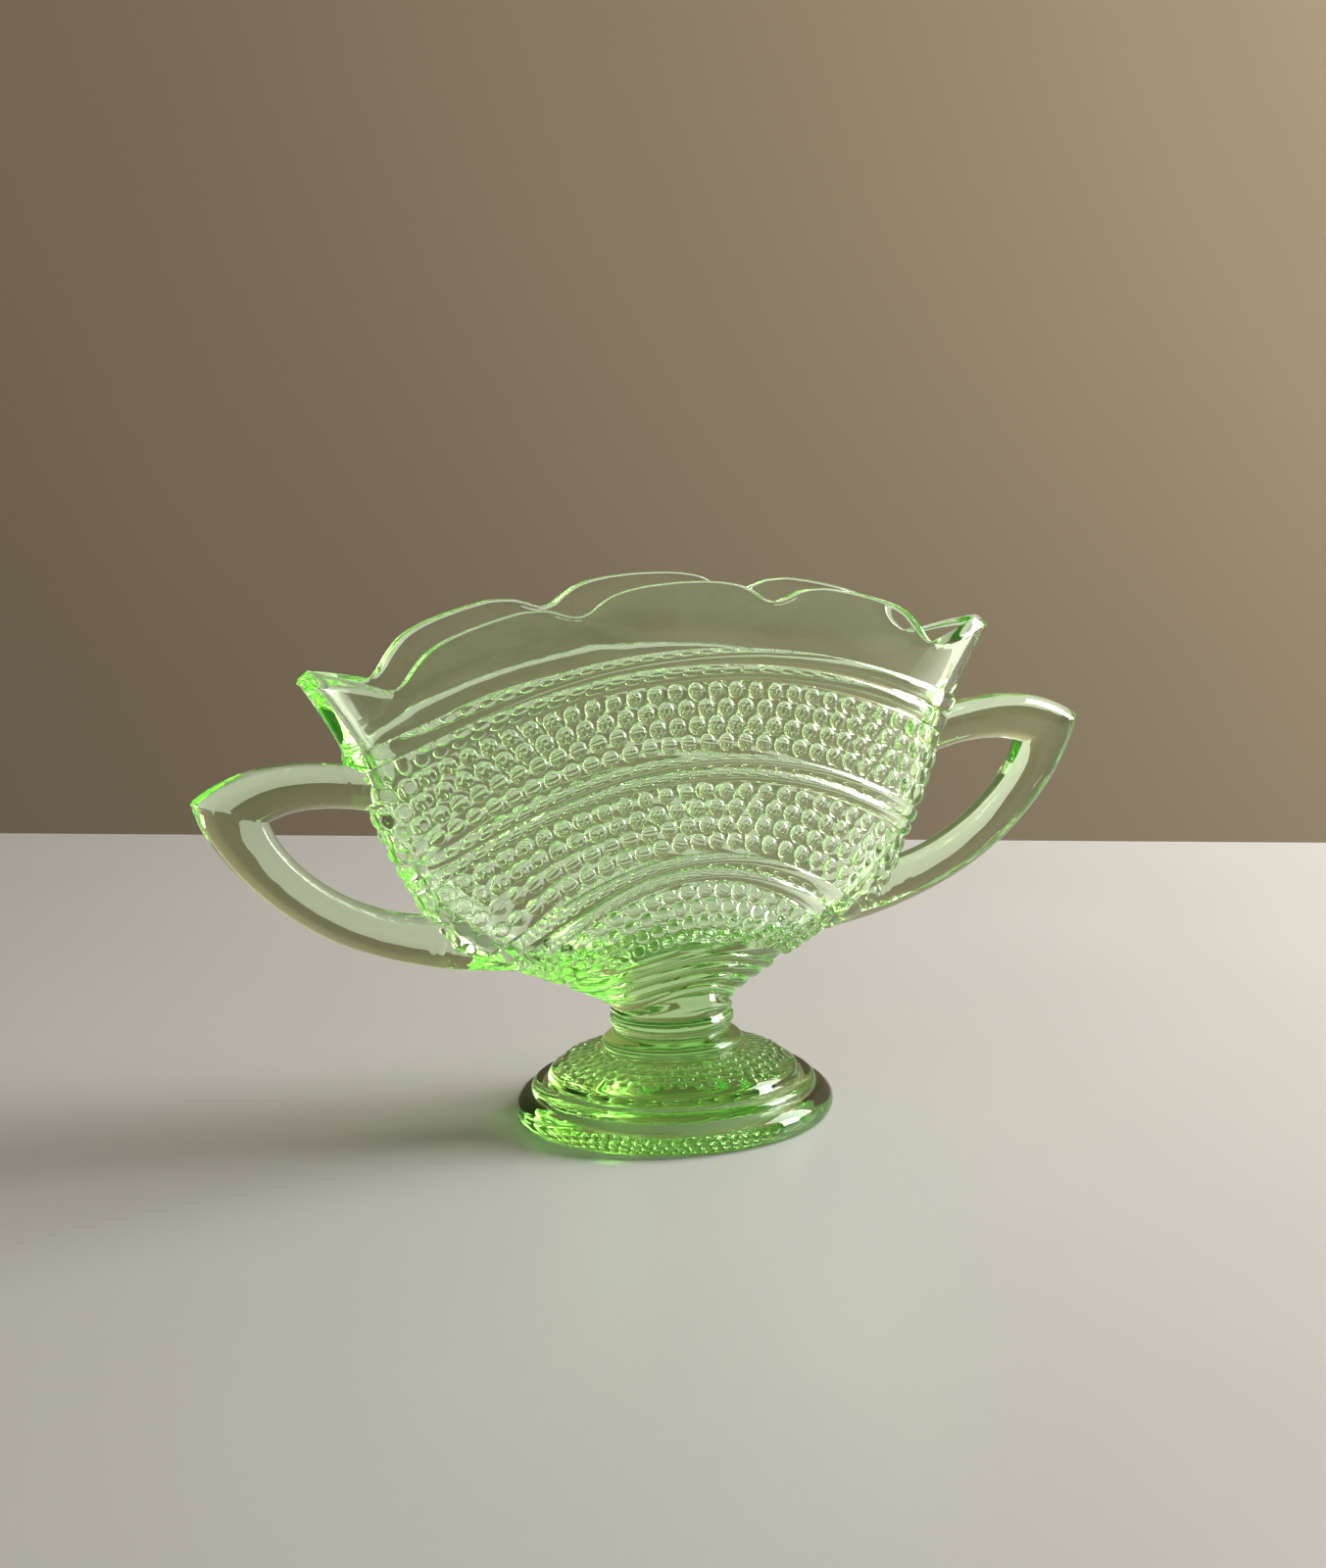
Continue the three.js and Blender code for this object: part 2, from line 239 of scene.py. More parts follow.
# ---- camera, in millimetres and degrees ----
LENS, SENSOR = 62.9, 36.0
AIM_HEIGHT = 70.0
CAMERA_DISTANCE = 656.4
CAMERA_ELEVATION, CAMERA_AZIMUTH, CAMERA_ROLL = 9.77, -24.22, -1.83
CAMERA_RIGHT, CAMERA_UP = -0.64, 10.83  # its shift from the line to the point it aims at
CLIP_NEAR, CLIP_FAR = 10.0, 50000.0


# ---- curves through the tables ----
def smooth(table, at):
    """Monotone cubic through the table's points, so that no crease shows where they meet."""
    x, y = np.array(table, float).T
    at = np.clip(np.asarray(at, float), x[0], x[-1])
    step, rise = np.diff(x), np.diff(y) / np.diff(x)
    slope = np.empty_like(x)
    slope[0], slope[-1] = rise[0], rise[-1]
    weight_a, weight_b = 2 * step[1:] + step[:-1], step[1:] + 2 * step[:-1]
    same_way = rise[:-1] * rise[1:] > 0
    safe_a, safe_b = np.where(same_way, rise[:-1], 1), np.where(same_way, rise[1:], 1)
    slope[1:-1] = np.where(same_way, (weight_a + weight_b) / (weight_a / safe_a + weight_b / safe_b), 0)
    i = np.clip(np.searchsorted(x, at, side="right") - 1, 0, len(step) - 1)
    h = step[i]
    u = (at - x[i]) / h
    return (
        y[i] * (1 + 2 * u) * (1 - u) ** 2
        + h * slope[i] * u * (1 - u) ** 2
        + y[i + 1] * u * u * (3 - 2 * u)
        + h * slope[i + 1] * u * u * (u - 1)
    )


def lengths_along(points):
    """Each point's distance from the first, along the path through them."""
    return np.concatenate([[0], np.cumsum(np.linalg.norm(np.diff(points, axis=0), axis=1))])


def path_points(points, count):
    """count + 1 points evenly spaced along a smooth curve through the given ones."""
    points = np.array(points, float)
    length = lengths_along(points)
    at = np.linspace(0, length[-1], count + 1)
    return np.column_stack([smooth(list(zip(length, points[:, k])), at) for k in range(points.shape[1])])


def even_angles(course, level, count, fine):
    """The angles of places spread evenly by length round a course, found from a finer walk round it."""
    angle = np.linspace(0, 2 * math.pi, fine + 1)
    length = lengths_along(course(level, angle))
    return np.interp(np.arange(count) / count * length[-1], length, angle)


def signed_power(value, power):
    return np.sign(value) * np.abs(value) ** power


def oval(angle, roundness):
    """A superellipse one unit in half length and half depth."""
    power = 2 / np.asarray(roundness)
    return signed_power(np.cos(angle), power), signed_power(np.sin(angle), power)


def bulge(across, depth):
    """Height above its foot of a bead or rib with an elliptic section, whose edge is at across = 1."""
    return depth * np.sqrt(np.maximum(1 - np.square(across), 0))


# ---- the outside as a surface over (turn, level) ----
def rim_course(edge, angle):
    """The rim's outer or inner edge."""
    depths, tilt_share = edge
    along_x, along_y = oval(angle, BOWL_ROUNDNESS)
    x = depths[-1][0] * along_x
    y = np.sign(along_y) * smooth(depths, np.abs(x))
    reach = np.abs(RIM_HEIGHT[-1][0] * along_x)
    z = smooth(RIM_HEIGHT, reach) + smooth(BACK_RISE, reach) * np.clip(along_y, 0, 1)
    return np.stack([x, y, z + tilt_share * smooth(RIM_TILT, reach)], axis=-1)


def band_course(level, angle):
    """One arched course of the banded part, at the height of the crowns."""
    end = smooth(END_HEIGHT, level)
    share = np.clip((level - NECK_LEVEL) / (FULL_OVAL_LEVEL - NECK_LEVEL), 0, 1)
    along_x, along_y = oval(angle, NECK_ROUNDNESS + (BOWL_ROUNDNESS - NECK_ROUNDNESS) * share)
    z = level - (level - end) * along_x**2
    return np.stack([smooth(HALF_LENGTH, end) * along_x, smooth(HALF_DEPTH, z) * along_y, z], axis=-1)


def outside_course(level, angle):
    """One course of the outside: banded part or plain wall."""
    if level <= BAND_TOP:
        return band_course(level, angle)
    up = (level - BAND_TOP) / (RIM_LEVEL - BAND_TOP)
    low, high = band_course(BAND_TOP, angle), rim_course(OUTER_RIM, angle)
    out = np.array([up**FLARE, up**FLARE, up])
    return low + (high - low) * out


class Surface:
    """A closed-round surface tabled over turn (0 to 1, by arc length) and level, with its outward normal.
    Above frozen_above, the places keep the angles that they have there."""

    def __init__(self, levels, course, turns, frozen_above=math.inf):
        self.levels, self.turns = np.asarray(levels, float), turns
        rows = []
        for level in self.levels:
            if level <= frozen_above:
                angles = even_angles(course, level, turns, ANGLES_PER_TURN * turns)
            rows.append(course(level, angles))
        self.places = np.array(rows)
        along = np.roll(self.places, -1, axis=1) - np.roll(self.places, 1, axis=1)
        up = np.gradient(self.places, self.levels, axis=0)
        normal = np.cross(along, up)
        self.normals = normal / np.linalg.norm(normal, axis=2, keepdims=True)

    def _read(self, table, turn, level):
        count = len(self.levels)
        row = np.clip(np.interp(level, self.levels, np.arange(count)), 0, count - LAST_ROW)
        column = np.mod(turn, 1.0) * self.turns
        r, c = row.astype(int), column.astype(int)
        fr, fc = (row - r)[..., None], (column - c)[..., None]
        c, c1 = c % self.turns, (c + 1) % self.turns
        low = table[r, c] * (1 - fc) + table[r, c1] * fc
        high = table[r + 1, c] * (1 - fc) + table[r + 1, c1] * fc
        return low * (1 - fr) + high * fr

    def at(self, turn, level, height=0.0):
        """Points on the surface, raised by height along its normal."""
        turn, level = np.broadcast_arrays(np.asarray(turn, float), np.asarray(level, float))
        raised = np.broadcast_to(np.asarray(height, float), turn.shape)[..., None]
        return self._read(self.places, turn, level) + raised * self._read(self.normals, turn, level)


# ---- mesh building ----
class Skin:
    """Collects vertices and faces; equal points are welded when it becomes a mesh."""

    def __init__(self):
        self.points, self.faces, self.count = [], [], 0

    def add(self, points):
        points = np.asarray(points, float).reshape(-1, 3)
        self.points.append(points)
        self.count += len(points)
        return np.arange(self.count - len(points), self.count)

    def band(self, low, high):
        """Quads between two rings of equal length. They face out when the rings turn anticlockwise."""
        low, high = np.asarray(low), np.asarray(high)
        quads = np.column_stack([low, np.roll(low, -1), np.roll(high, -1), high])
        self.faces.extend(quads.tolist())

    def bands(self, rings):
        """Quads between each ring and the next."""
        for low, high in zip(rings, rings[1:]):
            self.band(low, high)

    def stitch(self, low, low_turns, high, high_turns):
        """Triangles between two rings of different length, in step with their turns."""
        i = j = 0
        n, m = len(low), len(high)
        low_turns, high_turns = [*low_turns, 1.0, 2.0], [*high_turns, 1.0, 2.0]
        while i < n or j < m:
            if low_turns[i + 1] <= high_turns[j + 1]:
                self.faces.append([low[i % n], low[(i + 1) % n], high[j % m]])
                i += 1
            else:
                self.faces.append([low[i % n], high[(j + 1) % m], high[j % m]])
                j += 1

    def fan(self, ring, centre, upwards):
        """Triangles from a ring to its centre."""
        middle = self.add([centre])[0]
        for a, b in zip(ring, np.roll(ring, -1)):
            self.faces.append([a, b, middle] if upwards else [b, a, middle])

    def mesh(self, name):
        """A mesh of all this, in metres."""
        made = bpy.data.meshes.new(name)
        places = (np.concatenate(self.points) * MM).tolist()
        made.from_pydata(places, [], [list(map(int, face)) for face in self.faces])
        work = bmesh.new()
        work.from_mesh(made)
        bmesh.ops.remove_doubles(work, verts=work.verts, dist=WELD_DISTANCE)
        bmesh.ops.triangulate(work, faces=[f for f in work.faces if len(f.verts) > 4])
        work.to_mesh(made)
        work.free()
        return made


def cell_outline(low, high, swing_low, swing_high):
    """The outline of one bead's cell, anticlockwise from its lower left corner: places from -1 to 1 across,
    and levels. The edges to the next rows swing out at the bead, and in where the next row's beads are."""
    across, up = np.linspace(-1, 1, CELL_ACROSS + 1), np.linspace(0, 1, CELL_UP + 1)
    bottom = low - swing_low * (1 - 2 * np.abs(across))
    top = high + swing_high * (1 - 2 * np.abs(across))
    side = bottom[0] + (top[0] - bottom[0]) * up
    one = np.ones(CELL_UP)
    return (
        np.concatenate([across[:-1], one, across[:0:-1], -one]),
        np.concatenate([bottom[:-1], side[:-1], top[:0:-1], side[:0:-1]]),
    )


def slopes(surface, turn, level):
    """The surface's length per turn, its length per level square to that, and its lean along the turn."""
    by_turn = surface.at(turn + PROBE_TURN, level) - surface.at(turn - PROBE_TURN, level)
    by_turn = by_turn / (2 * PROBE_TURN)
    by_level = surface.at(turn, level + PROBE_LEVEL) - surface.at(turn, level - PROBE_LEVEL)
    by_level = by_level / (2 * PROBE_LEVEL)
    turn_length = np.linalg.norm(by_turn)
    slant = by_level @ by_turn / turn_length
    return turn_length, np.sqrt(by_level @ by_level - slant**2), slant


def bead_row(skin, surface, low, level, high, swings, beads, shifted, depth, floor):
    """One row of round beads at a level, each in its own cell from low to high, on the sunk floor."""
    across, outline_level = cell_outline(low, high, *swings)
    room = min(level - low + swings[0], high - level + swings[1])
    for k in range(beads):
        turn = (k + (0.5 if shifted else 0.0)) / beads
        outline_turn = turn + across * 0.5 / beads
        turn_length, side_length, slant = slopes(surface, turn, level)
        radius = min(BEAD_FILL * turn_length / beads, room * side_length - CELL_MARGIN)
        rise = outline_level - level
        angles = np.arctan2(rise * side_length, (outline_turn - turn) * turn_length + rise * slant)
        previous = skin.add(surface.at(outline_turn, outline_level, -floor))
        for share in BEAD_RINGS:
            level_step = share * radius * np.sin(angles) / side_length
            turn_step = (share * radius * np.cos(angles) - level_step * slant) / turn_length
            height = -floor + bulge(share, depth)
            ring = skin.add(surface.at(turn + turn_step, level + level_step, height))
            skin.band(previous, ring)
            previous = ring
        crown = skin.add([surface.at(turn, level, -floor + depth)])[0]
        for a, b in zip(previous, np.roll(previous, -1)):
            skin.faces.append([a, b, crown])


def plain_rows(skin, surface, rows, count):
    """Rings at the levels and heights of these rows, joined in order. Returns the first and last ring."""
    turns = np.arange(count) / count
    rings = [skin.add(surface.at(turns, level, height)) for level, height in rows]
    skin.bands(rings)
    return rings[0], rings[-1]


def rib_rows(edges, depth, floor):
    """Level and height of each row of round ribs side by side, whose edges are at these levels."""
    rows = []
    for low, high in zip(edges, edges[1:]):
        for k in range(1 if rows else 0, RIB_STEPS + 1):
            across = math.sin(math.pi * (k / RIB_STEPS - 0.5))
            level = (low + high) / 2 + across * (high - low) / 2
            rows.append((level, -floor + float(bulge(across, depth))))
    return rows


def bead_group(skin, surface, group, depth, floor, zigzag):
    """Rows of beads between two plain edges, every second row shifted by half a bead."""
    between = [(a + b) / 2 for a, b in zip(group.levels, group.levels[1:])]
    edges = [group.low] + between + [group.high]
    swings = [0.0] + [zigzag] * len(between) + [0.0]
    for r, level in enumerate(group.levels):
        shifted = r % 2 == 1
        bead_row(
            skin, surface, edges[r], level, edges[r + 1], swings[r:r + 2], group.beads, shifted, depth, floor
        )


def group_ring(skin, surface, level, beads, floor):
    """The ring of cell corners along one edge of a bead group, and their turns."""
    turns = np.arange(beads * CELL_ACROSS) / (beads * CELL_ACROSS)
    return skin.add(surface.at(turns, level, -floor)), turns


def build_outside(skin):
    """The outside of the bowl, from the neck up to the rim. Returns the first and last ring."""
    band_levels = np.arange(NECK_LEVEL, BAND_TOP, BAND_LEVEL_STEP)
    levels = np.concatenate([band_levels, np.linspace(BAND_TOP, RIM_LEVEL, WALL_LEVELS)])
    surface = Surface(levels, outside_course, SURFACE_TURNS, frozen_above=BAND_TOP)
    groups = (GROUP_LOW, GROUP_MIDDLE, GROUP_HIGH)
    low_count, middle_count, high_count = (group.beads * CELL_ACROSS for group in groups)

    ring_rows = rib_rows(NECK_RINGS, RING_DEPTH, RING_DEPTH)
    neck, _ = plain_rows(skin, surface, NECK_ROWS + ring_rows + FAN_ROWS, low_count)
    bead_group(skin, surface, GROUP_LOW, BEAD_DEPTH, BEAD_DEPTH, ZIGZAG)

    ribs = ((RIBS_LOW, low_count, GROUP_MIDDLE), (RIBS_MIDDLE, middle_count, GROUP_HIGH))
    for edges, count, above in ribs:
        _, top = plain_rows(skin, surface, rib_rows(edges, RIB_DEPTH, BEAD_DEPTH), count)
        ring, turns = group_ring(skin, surface, above.low, above.beads, BEAD_DEPTH)
        skin.stitch(top, np.arange(count) / count, ring, turns)
        bead_group(skin, surface, above, BEAD_DEPTH, BEAD_DEPTH, ZIGZAG)

    up = np.linspace(0, 1, WALL_ROWS)[1:-1]
    wall_rows = list(zip(BAND_TOP + (RIM_LEVEL - BAND_TOP) * up, -BEAD_DEPTH * (1 - up) ** 2))
    rows = rib_rows(RIBS_HIGH, RIB_DEPTH, BEAD_DEPTH) + wall_rows
    _, top = plain_rows(skin, surface, rows, high_count)
    return neck, top


def build_rim(skin, wall_top, angle):
    """The rounded edge, from the outside over to the inside. Returns its last ring and that ring's points."""
    outer, inner = rim_course(OUTER_RIM, angle), rim_course(INNER_RIM, angle)
    middle, half = (outer + inner) / 2, (outer - inner) / 2
    rings = [wall_top]
    for turn in np.linspace(0, math.pi, RIM_STEPS):
        places = middle + half * signed_power(math.cos(turn), RIM_CORNERS)
        places[:, 2] += RIM_ROUNDING * (signed_power(math.sin(turn), RIM_CORNERS) - 1)
        rings.append(skin.add(places))
    skin.bands(rings)
    return rings[-1], inner - (0, 0, RIM_ROUNDING)


def hollow_course(row, lift, angle):
    """One course of the inside, higher by lift at mid length than at the two ends."""
    height, half_length, half_depth = row
    along_x, along_y = oval(angle, BOWL_ROUNDNESS)
    return np.stack([half_length * along_x, half_depth * along_y, height + lift * (1 - along_x**2)], axis=-1)


def build_hollow(skin, edge, edge_places, angle):
    """The inside, from the rim's edge down to its closed bottom."""
    lift = HOLLOW_TOP_MIDDLE - HOLLOW[0][0]
    first = hollow_course(HOLLOW[0], lift, angle)
    rings = [edge]
    for down in np.linspace(0, 1, WALL_ROWS)[1:]:
        inwards = 1 - (1 - down) ** FLARE
        rings.append(skin.add(edge_places + (first - edge_places) * np.array([inwards, inwards, down])))
    rows = path_points(HOLLOW, HOLLOW_ROWS)
    for k, row in enumerate(rows[1:], start=1):
        left = lift * max(0.0, 1 - k / ARCH_ROWS) ** ARCH_FADE
        rings.append(skin.add(hollow_course(row, left, angle)))
    skin.bands(rings)
    skin.fan(rings[-1], (0, 0, rows[-1][0] - FLOOR_DIP), upwards=True)


def turned(skin, profile, rows, turns):
    """Rings of a turned profile, joined in order."""
    angle = 2 * math.pi * turns
    rings = []
    for radius, height in path_points(profile, rows):
        places = [radius * np.cos(angle), radius * np.sin(angle), np.full(len(turns), height)]
        rings.append(skin.add(np.column_stack(places)))
    skin.bands(rings)
    return rings


def dome_surface():
    """The foot's dome, with its levels counted in rows of beads."""
    dome = path_points(FOOT_DOME, DOME_LEVELS)
    levels = np.linspace(0, DOME_ROWS, len(dome))

    def course(level, angle):
        radius, height = (np.interp(level, levels, dome[:, k]) for k in (0, 1))
        places = [radius * np.cos(angle), radius * np.sin(angle), np.full_like(angle, height)]
        return np.stack(places, axis=-1)

    return Surface(levels, course, DOME_TURNS)


def build_stem_and_foot(skin, neck):
    """Everything below the bowl, from the underside's centre up to the neck ring."""
    turns = np.arange(len(neck)) / len(neck)
    under = turned(skin, UNDERSIDE, UNDERSIDE_ROWS, turns)
    skin.fan(under[0], (0, 0, UNDERSIDE[0][1]), upwards=False)
    edge = turned(skin, FOOT_EDGE, FOOT_EDGE_ROWS, turns)
    stem = turned(skin, STEM, STEM_ROWS, turns)
    skin.band(stem[-1], neck)

    surface = dome_surface()
    low_ring, low_turns = group_ring(skin, surface, 0.0, DOME_BEADS, 0.0)
    skin.stitch(edge[-1], turns, low_ring, low_turns)
    group = BeadGroup(0.0, [row + 0.5 for row in range(DOME_ROWS)], DOME_ROWS, DOME_BEADS)
    bead_group(skin, surface, group, DOME_BEAD_DEPTH, 0.0, DOME_ZIGZAG)
    high_ring, high_turns = group_ring(skin, surface, DOME_ROWS, DOME_BEADS, 0.0)
    skin.stitch(high_ring, high_turns, stem[0], turns)


# ---- handles ----
def bar_rings(outer, inner):
    """Sections of one bar, each a closed loop round it, from its first point pair to its last."""
    pairs = path_points(np.hstack([np.array(outer, float), np.array(inner, float)]), BAR_STATIONS)
    loop = [(share, -thickness) for share, thickness in BAR_SECTION] + BAR_SECTION[::-1]
    across, y = np.array(loop).T
    rings = []
    for outer_x, outer_z, inner_x, inner_z in pairs:
        x = outer_x + (inner_x - outer_x) * across
        z = outer_z + (inner_z - outer_z) * across
        rings.append(np.column_stack([x, y, z]))
    return rings


def handle_mesh(side):
    """Both bars of one handle, mitred at the tip, their ends inside the bowl. side is 1 at +X, -1 at -X."""
    skin = Skin()
    mirror = np.array([side, 1, 1])
    sections = bar_rings(UPPER_OUTER, UPPER_INNER) + bar_rings(LOWER_OUTER, LOWER_INNER)[1:]
    rings = [skin.add(places * mirror) for places in sections]
    skin.bands(rings)
    skin.faces.append(list(rings[0]))
    skin.faces.append(list(rings[-1]))
    return facing_out(skin.mesh("handle"))


def facing_out(mesh):
    """The mesh with its faces turned outwards."""
    work = bmesh.new()
    work.from_mesh(mesh)
    bmesh.ops.recalc_face_normals(work, faces=work.faces)
    work.to_mesh(mesh)
    work.free()
    return mesh


def wall_core():
    """A plain solid whose outside runs through the middle of the bowl's wall: no handle reaches into it."""
    skin = Skin()
    angle = np.linspace(0, 2 * math.pi, CORE_SIDES, endpoint=False)
    rings = []
    for level in np.linspace(CORE_LOW, CORE_HIGH, CORE_ROWS):
        places = band_course(level, angle)
        size = np.abs(places[:, :2]).max(axis=0)
        places[:, :2] *= 1 - CORE_INSET / size
        rings.append(skin.add(places))
    skin.bands(rings)
    skin.fan(rings[0], (0, 0, CORE_LOW), upwards=False)
    skin.fan(rings[-1], (0, 0, CORE_HIGH), upwards=True)
    return facing_out(skin.mesh("core"))


# ---- joining and cutting ----
def prism(outline, low, high, place):
    """A closed solid: the outline in two axes, drawn out along the third from low to high. place makes a
    point of the three."""
    skin = Skin()
    near = skin.add([place(a, b, low) for a, b in outline])
    far = skin.add([place(a, b, high) for a, b in outline])
    skin.band(near, far)
    skin.faces.append(list(near))
    skin.faces.append(list(far))
    mesh = facing_out(skin.mesh("prism"))
    mark(mesh, 0.0)
    return mesh


def mark(mesh, value):
    """Sets how much of each face is real glass: 1 on the skin, 0 on a cut."""
    attribute = mesh.attributes.get(SKIN_MARK) or mesh.attributes.new(SKIN_MARK, "FLOAT", "FACE")
    attribute.data.foreach_set("value", np.full(len(mesh.polygons), value, np.float32))


def combined(mesh, operation, *tools):
    """The mesh after a boolean with each tool in turn."""
    for tool in tools:
        pair = [bpy.data.objects.new(name, data) for name, data in (("work", mesh), ("tool", tool))]
        for part in pair:
            bpy.context.scene.collection.objects.link(part)
        step = pair[0].modifiers.new("step", "BOOLEAN")
        step.solver, step.operation, step.object = "MANIFOLD", operation, pair[1]
        bpy.context.view_layer.update()
        held = bpy.context.evaluated_depsgraph_get()
        mesh = bpy.data.meshes.new_from_object(pair[0].evaluated_get(held))
        for part in pair:
            bpy.data.objects.remove(part)
    return mesh


def root_line(side, margin):
    """The outline, in the XZ plane, of the room outside the bowl's end where a handle is its own piece."""
    heights = np.linspace(ROOT_LOW, HANDLE_TOP_CUT, ROOT_POINTS)
    reach = smooth(HALF_LENGTH, heights)
    slope = np.gradient(reach, heights)
    out = 1 / np.hypot(1, slope)
    line = [(x + margin * k, z - margin * k * s) for x, z, k, s in zip(reach, heights, out, slope)]
    start, end = (line[0][0], HANDLE_BOTTOM_CUT), (line[-1][0], HANDLE_TOP_CUT)
    corners = [(FAR_OUT, HANDLE_TOP_CUT), (FAR_OUT, HANDLE_BOTTOM_CUT)]
    return [(side * x, z) for x, z in [start, *line, end, *corners]]


def level_cut(low, high):
    """A solid that holds everything between two heights."""
    square = [(-FAR_OUT, -FAR_OUT), (FAR_OUT, -FAR_OUT), (FAR_OUT, FAR_OUT), (-FAR_OUT, FAR_OUT)]
    return prism(square, low, high, lambda x, y, z: (x, y, z))


def root_cut(side, margin):
    """A solid that holds one handle, down to margin from the bowl."""
    return prism(root_line(side, margin), -HANDLE_HALF_CUT, HANDLE_HALF_CUT, lambda x, z, y: (x, y, z))


def glass_body():
    """The bowl, stem and foot as one closed skin."""
    skin = Skin()
    neck, wall_top = build_outside(skin)
    angle = even_angles(band_course, BAND_TOP, len(wall_top), ANGLES_PER_TURN * SURFACE_TURNS)
    edge, edge_places = build_rim(skin, wall_top, angle)
    build_hollow(skin, edge, edge_places, angle)
    build_stem_and_foot(skin, neck)
    return skin.mesh("body")


def glass_pieces():
    """The whole glass with its handles, cut into its five named pieces."""
    core = wall_core()
    handles = [combined(handle_mesh(side), "DIFFERENCE", core) for side in (-1, 1)]
    whole = combined(glass_body(), "UNION", *handles)
    mark(whole, 1.0)

    gap = CUT_GAP / 2
    near, far = ROOT_MARGIN - gap, ROOT_MARGIN + gap
    not_bowl = level_cut(-FAR_OUT, STEM_TOP + gap), root_cut(-1, near), root_cut(1, near)
    return {
        "bowl": combined(whole, "DIFFERENCE", *not_bowl),
        "stem": combined(whole, "INTERSECT", level_cut(FOOT_TOP + gap, STEM_TOP - gap)),
        "foot": combined(whole, "INTERSECT", level_cut(-FAR_OUT, FOOT_TOP - gap)),
        "handle_left": combined(whole, "INTERSECT", root_cut(-1, far)),
        "handle_right": combined(whole, "INTERSECT", root_cut(1, far)),
    }


def shade(mesh):
    """Smooth skin, flat cuts, and no shading carried from one to the other."""
    marks = np.zeros(len(mesh.polygons), np.float32)
    mesh.attributes[SKIN_MARK].data.foreach_get("value", marks)
    skin = marks > 0.5
    mesh.polygons.foreach_set("use_smooth", skin)
    mesh.set_sharp_from_angle(angle=math.radians(CREASE))
    sides = {}
    for polygon in mesh.polygons:
        for key in polygon.edge_keys:
            sides.setdefault(key, []).append(skin[polygon.index])
    for edge in mesh.edges:
        if not all(sides[edge.key]):
            edge.use_edge_sharp = True
    mesh.update()


# ---- materials ----
def new_material(name):
    """An empty material, its nodes and links, and its output."""
    material = bpy.data.materials.new(name)
    material.use_nodes = True
    nodes, links = material.node_tree.nodes, material.node_tree.links
    nodes.clear()
    output = nodes.new("ShaderNodeOutputMaterial")
    return material, nodes, links, output


def noise(nodes, links, scale, detail=NOISE_DETAIL):
    """A noise texture read in the object's own space, in metres."""
    place = nodes.new("ShaderNodeTexCoord")
    texture = nodes.new("ShaderNodeTexNoise")
    texture.inputs["Scale"].default_value = scale
    texture.inputs["Detail"].default_value = detail
    links.new(place.outputs["Object"], texture.inputs["Vector"])
    return texture


def spread(nodes, links, factor, low, high):
    """A factor of 0 to 1 spread between two numbers."""
    node = nodes.new("ShaderNodeMapRange")
    node.inputs["To Min"].default_value, node.inputs["To Max"].default_value = low, high
    links.new(factor, node.inputs["Value"])
    return node.outputs["Result"]


def glass_material():
    """Pale green glass: clear at the surface, greener with depth, with faint flow marks from the mould."""
    material, nodes, links, output = new_material("green_glass")
    shader = nodes.new("ShaderNodeBsdfPrincipled")
    shader.inputs["Base Color"].default_value = GLASS_TINT
    shader.inputs["Transmission Weight"].default_value = 1.0
    shader.inputs["IOR"].default_value = GLASS_IOR
    # painted glow: a faint even green emission, the same everywhere and not driven by any lamp
    shader.inputs["Emission Color"].default_value = GLOW_COLOUR
    shader.inputs["Emission Strength"].default_value = GLOW_STRENGTH
    smears = noise(nodes, links, SMEAR_SCALE)
    roughness = spread(nodes, links, smears.outputs["Fac"], 0.0, SMEAR_ROUGHNESS)
    links.new(roughness, shader.inputs["Roughness"])
    ripples = noise(nodes, links, RIPPLE_SCALE, RIPPLE_DETAIL)
    bump = nodes.new("ShaderNodeBump")
    bump.inputs["Strength"].default_value = RIPPLE_STRENGTH
    bump.inputs["Distance"].default_value = RIPPLE_HEIGHT
    links.new(ripples.outputs["Fac"], bump.inputs["Height"])
    links.new(bump.outputs["Normal"], shader.inputs["Normal"])
    skin = nodes.new("ShaderNodeAttribute")
    skin.attribute_name = SKIN_MARK
    links.new(skin.outputs["Fac"], shader.inputs["Alpha"])
    depth = nodes.new("ShaderNodeVolumeAbsorption")
    depth.inputs["Color"].default_value = DEPTH_COLOUR
    depth.inputs["Density"].default_value = DEPTH_DENSITY
    links.new(shader.outputs["BSDF"], output.inputs["Surface"])
    links.new(depth.outputs["Volume"], output.inputs["Volume"])
    return material


def painted_material(name, colours, roughness, grain):
    """A matt surface whose colour drifts a little between two tones."""
    material, nodes, links, output = new_material(name)
    shader = nodes.new("ShaderNodeBsdfPrincipled")
    drift = noise(nodes, links, grain)
    ramp = nodes.new("ShaderNodeValToRGB")
    ramp.color_ramp.elements[0].color, ramp.color_ramp.elements[1].color = colours
    links.new(drift.outputs["Fac"], ramp.inputs["Fac"])
    links.new(ramp.outputs["Color"], shader.inputs["Base Color"])
    low, high = roughness - ROUGHNESS_DRIFT, roughness + ROUGHNESS_DRIFT
    links.new(spread(nodes, links, drift.outputs["Fac"], low, high), shader.inputs["Roughness"])
    links.new(shader.outputs["BSDF"], output.inputs["Surface"])
    return material


# ---- surroundings, light and camera ----
def staged(name, corners, material):
    """A flat surface of the room, with its corners given across, back and up from the object."""
    turn = Matrix.Rotation(math.radians(ROOM_TURN), 3, "Z")
    mesh = bpy.data.meshes.new(name)
    mesh.from_pydata([turn @ Vector(corner) for corner in corners], [], [list(range(len(corners)))])
    mesh.materials.append(material)
    made = bpy.data.objects.new(name, mesh)
    bpy.context.scene.collection.objects.link(made)


